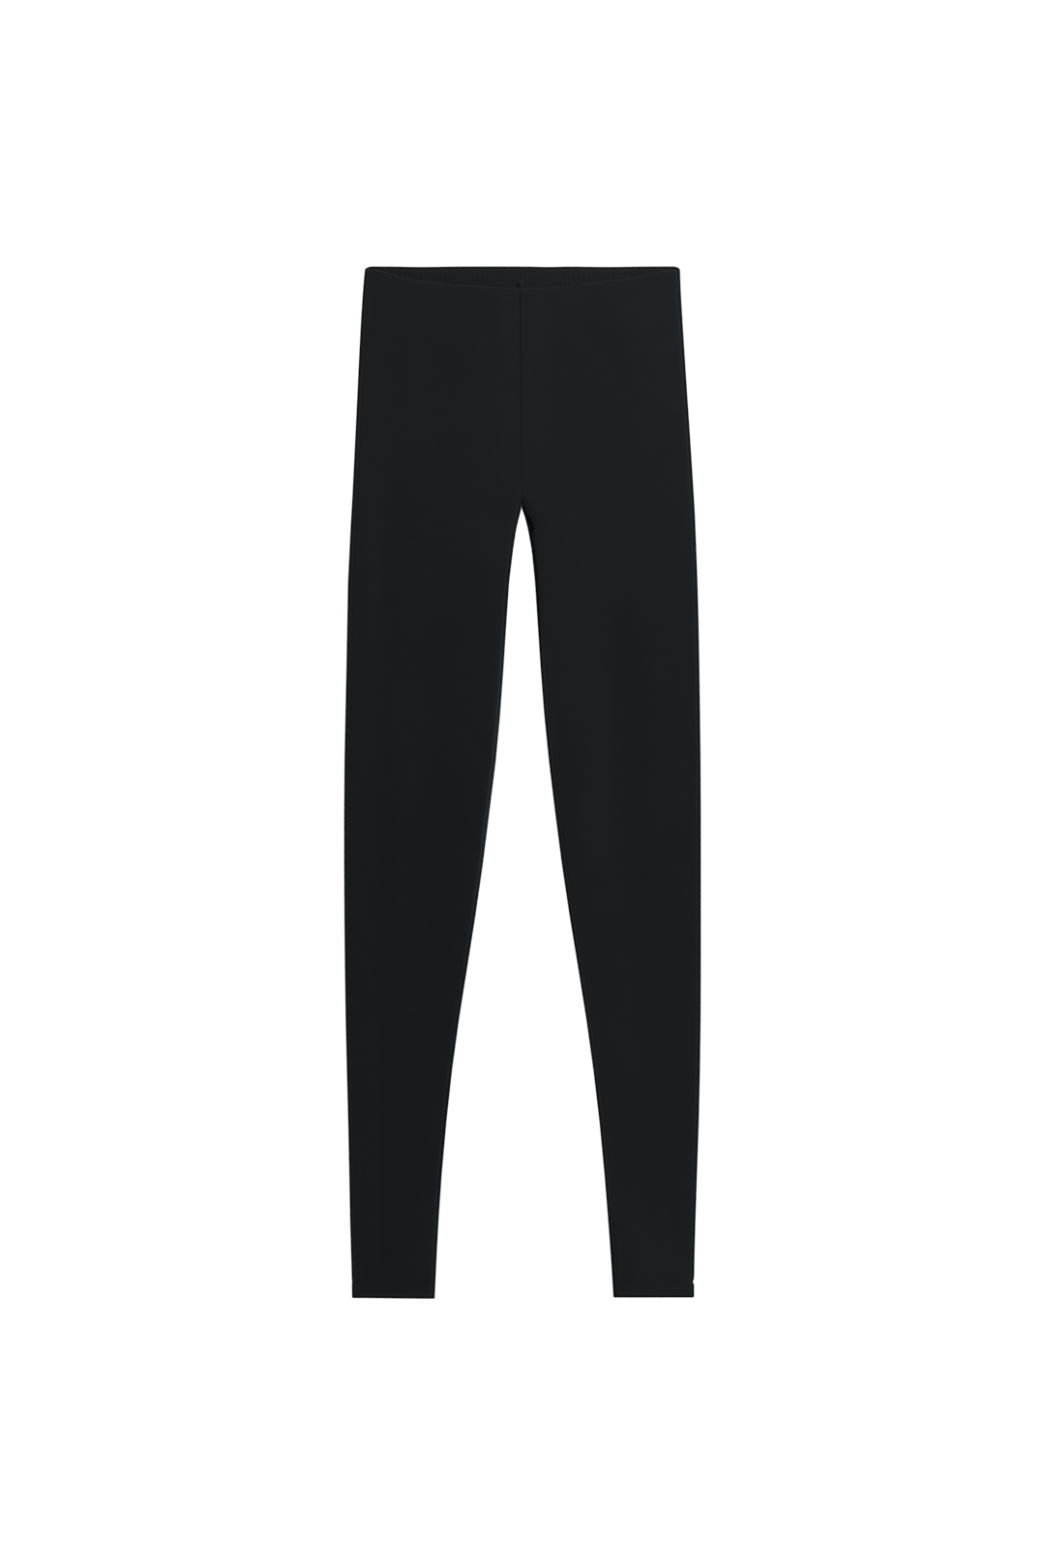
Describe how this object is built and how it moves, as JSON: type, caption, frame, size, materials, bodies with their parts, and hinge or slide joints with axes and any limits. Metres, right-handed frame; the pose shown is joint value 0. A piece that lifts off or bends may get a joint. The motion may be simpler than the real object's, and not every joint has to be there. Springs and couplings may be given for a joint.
{
  "type": "leggings",
  "caption": "Plain black full-length jersey leggings with an elastic waist casing and turned-up hems, laid flat with the front up.",
  "frame": {"origin": "on the surface that the leggings lie on, under the middle of their outline", "axes": "+X towards the wearer's left leg, +Y up towards the waist, +Z out of the surface, the way the front faces"},
  "size_m": [0.346, 1, 0.0066],
  "materials": {
    "jersey": "matt black fine stretch jersey with a soft nap",
    "jersey_wrong_side": "matt black wrong side of the jersey, a shade lighter"
  },
  "bodies": {
    "root": {"leg_panel_right": "jersey", "leg_panel_left": "jersey", "waist_casing": "jersey_wrong_side", "hem_turn_up_right": "jersey_wrong_side", "hem_turn_up_left": "jersey_wrong_side"}
  },
  "joints": []
}
